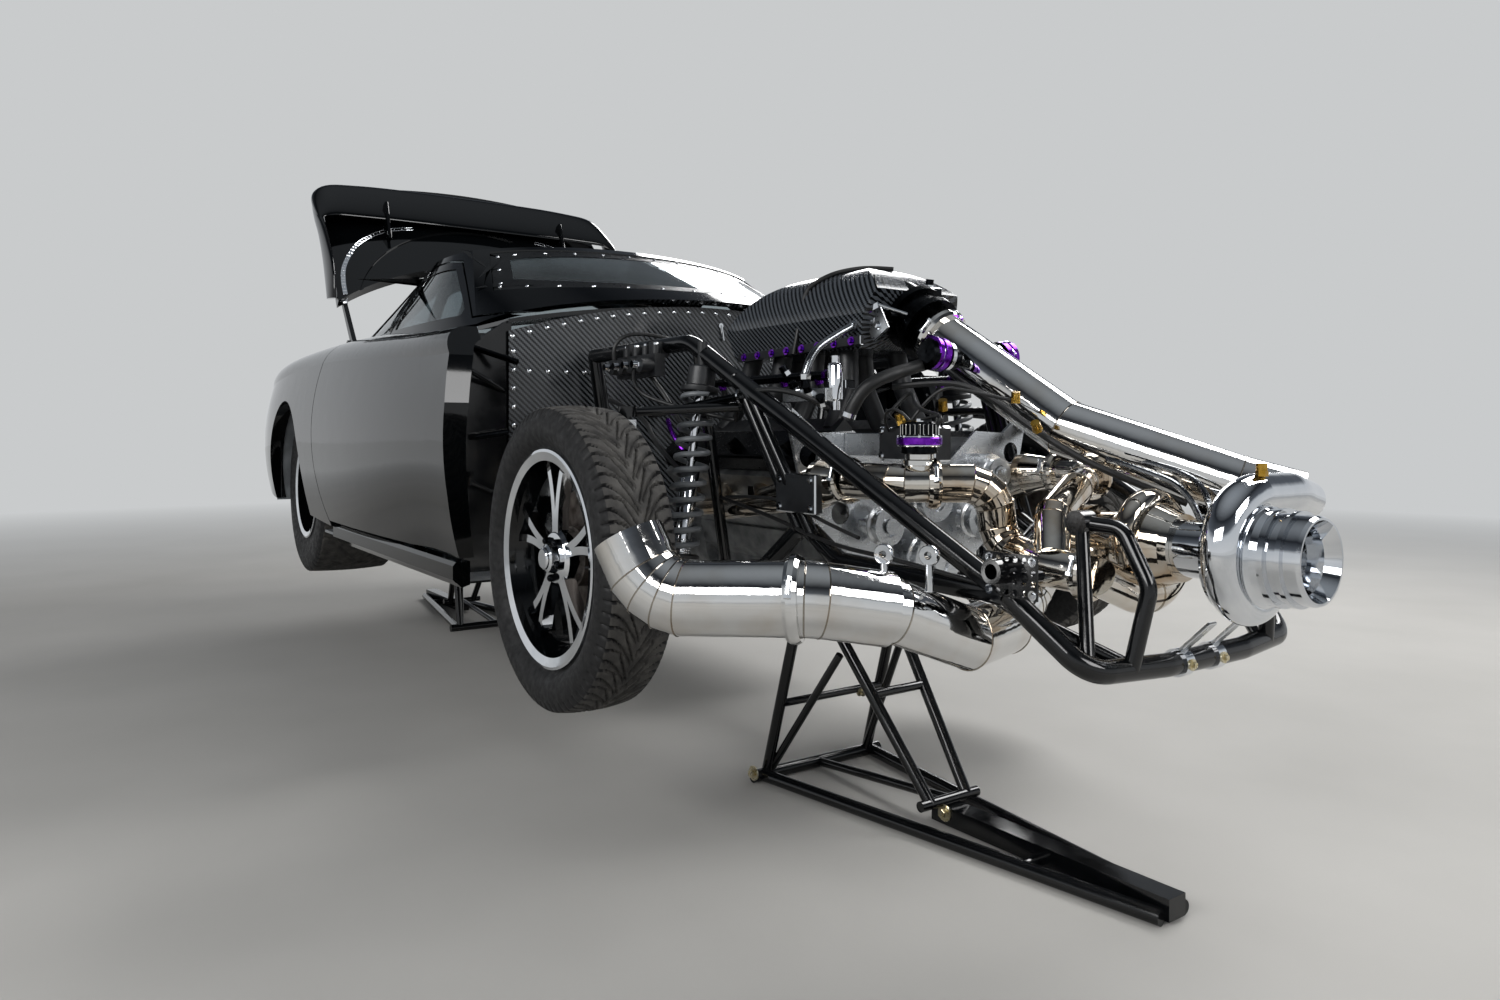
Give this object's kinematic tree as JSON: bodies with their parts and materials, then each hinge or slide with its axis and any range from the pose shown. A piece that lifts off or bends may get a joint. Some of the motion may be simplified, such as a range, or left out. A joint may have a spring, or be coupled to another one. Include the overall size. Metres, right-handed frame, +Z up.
{
  "type": "drag-racing hot rod on stands",
  "caption": "Black turbocharged drag coupe with its front body off, an open V8 and tube frame, opened decklid with wing, on two tube stands",
  "frame": {"origin": "on the floor, at the middle of the bounding box seen from above", "axes": "+X forward, +Y to the car's left, +Z up"},
  "size_m": [4.695, 1.8199, 2.1109],
  "materials": {
    "black_paint": "gloss black two-stage paint",
    "black_plastic": "satin black",
    "black_tube": "gloss black powder coat",
    "carbon": "clear-coated carbon twill",
    "cast_alloy": "machined and cast aluminium",
    "clear_pane": "clear polycarbonate with a black border",
    "dark_cast": "heat-coloured cast steel",
    "grey_coat": "grey enamel",
    "lamp_red": "dark red lens",
    "polished_aluminium": "polished aluminium",
    "polished_steel": "polished stainless steel",
    "purple_anodised": "purple anodised aluminium",
    "seat_fabric": "black upholstery",
    "tyre_rubber": "black tyre rubber"
  },
  "bodies": {
    "chassis": {"body_shell": "black_paint", "side_sills": "black_paint", "fixed_glass": "clear_pane", "tail_lamps": "lamp_red", "cowl_pillars": "black_tube", "firewall": "carbon", "floor_pan": "grey_coat", "rear_tubs": "grey_coat", "chassis_rails": "black_tube", "front_frame": "black_tube", "clip_mounts": "black_tube", "roll_cage": "black_tube", "seat": "seat_fabric", "dash_panel": "grey_coat", "steering_wheel": "black_plastic", "gearbox": "cast_alloy", "drive_shaft": "grey_coat", "control_arms": "black_tube", "front_dampers": "grey_coat", "steering_rack": "cast_alloy", "rear_axle": "dark_cast", "rear_suspension": "black_tube", "engine_block": "cast_alloy", "cylinder_heads": "cast_alloy", "valve_covers": "black_plastic", "motor_plate": "cast_alloy", "intake_manifold": "carbon", "throttle_body": "carbon", "front_drive": "cast_alloy", "exhaust_manifolds": "polished_steel", "hot_pipes": "polished_steel", "wastegates": "purple_anodised", "blow_off_valves": "purple_anodised", "charge_pipe": "polished_steel", "exhaust_pipe": "polished_steel", "compressor_housing": "polished_aluminium", "turbine_housing": "polished_steel", "solenoid_bank": "black_plastic", "lid_hinges": "black_tube", "front_stand": "black_tube", "rear_stand": "black_tube"},
    "knuckle_right": {"knuckle_right": "cast_alloy"},
    "knuckle_left": {"knuckle_left": "cast_alloy"},
    "front_wheel_right": {"front_tyre_right": "tyre_rubber", "front_rim_right": "polished_aluminium", "front_rotor_right": "dark_cast"},
    "front_wheel_left": {"front_tyre_left": "tyre_rubber", "front_rim_left": "polished_aluminium", "front_rotor_left": "dark_cast"},
    "rear_wheel_right": {"rear_tyre_right": "tyre_rubber", "rear_rim_right": "polished_aluminium"},
    "rear_wheel_left": {"rear_tyre_left": "tyre_rubber", "rear_rim_left": "polished_aluminium"},
    "door_right": {"door_right": "black_paint", "door_glass_right": "clear_pane"},
    "door_left": {"door_left": "black_paint", "door_glass_left": "clear_pane"},
    "decklid": {"decklid": "black_paint", "rear_wing": "black_paint"},
    "compressor_wheel": {"compressor_wheel": "cast_alloy"}
  },
  "joints": [
    {"name": "steer_right", "type": "hinge", "parent": "chassis", "child": "knuckle_right", "pos_m": [1.1325, -0.625, 0.63], "axis": [0, 0, 1], "range_deg": [-22, 22]},
    {"name": "steer_left", "type": "hinge", "parent": "chassis", "child": "knuckle_left", "pos_m": [1.1325, 0.625, 0.63], "axis": [0, 0, 1], "range_deg": [-22, 22]},
    {"name": "front_right_roll", "type": "hinge", "parent": "knuckle_right", "child": "front_wheel_right", "pos_m": [1.1325, -0.757, 0.63], "axis": [0, 1, 0], "continuous": true},
    {"name": "front_left_roll", "type": "hinge", "parent": "knuckle_left", "child": "front_wheel_left", "pos_m": [1.1325, 0.757, 0.63], "axis": [0, 1, 0], "continuous": true},
    {"name": "rear_right_roll", "type": "hinge", "parent": "chassis", "child": "rear_wheel_right", "pos_m": [-1.4875, -0.64, 0.658], "axis": [0, 1, 0], "continuous": true},
    {"name": "rear_left_roll", "type": "hinge", "parent": "chassis", "child": "rear_wheel_left", "pos_m": [-1.4875, 0.64, 0.658], "axis": [0, 1, 0], "continuous": true},
    {"name": "door_right_hinge", "type": "hinge", "parent": "chassis", "child": "door_right", "pos_m": [0.5325, -0.79, 0.9], "axis": [0, 0, 1], "range_deg": [0, 60]},
    {"name": "door_left_hinge", "type": "hinge", "parent": "chassis", "child": "door_left", "pos_m": [0.5325, 0.79, 0.9], "axis": [0, 0, 1], "range_deg": [-60, 0]},
    {"name": "decklid_hinge", "type": "hinge", "parent": "chassis", "child": "decklid", "pos_m": [-1.1675, 0, 1.265], "axis": [0, 1, 0], "range_deg": [-49, 0]},
    {"name": "compressor_spin", "type": "hinge", "parent": "chassis", "child": "compressor_wheel", "pos_m": [2.25, 0, 0.69], "axis": [1, 0, 0], "continuous": true}
  ],
  "couplings": [
    {"joint": "steer_left", "follows": "steer_right", "ratio": 1}
  ]
}
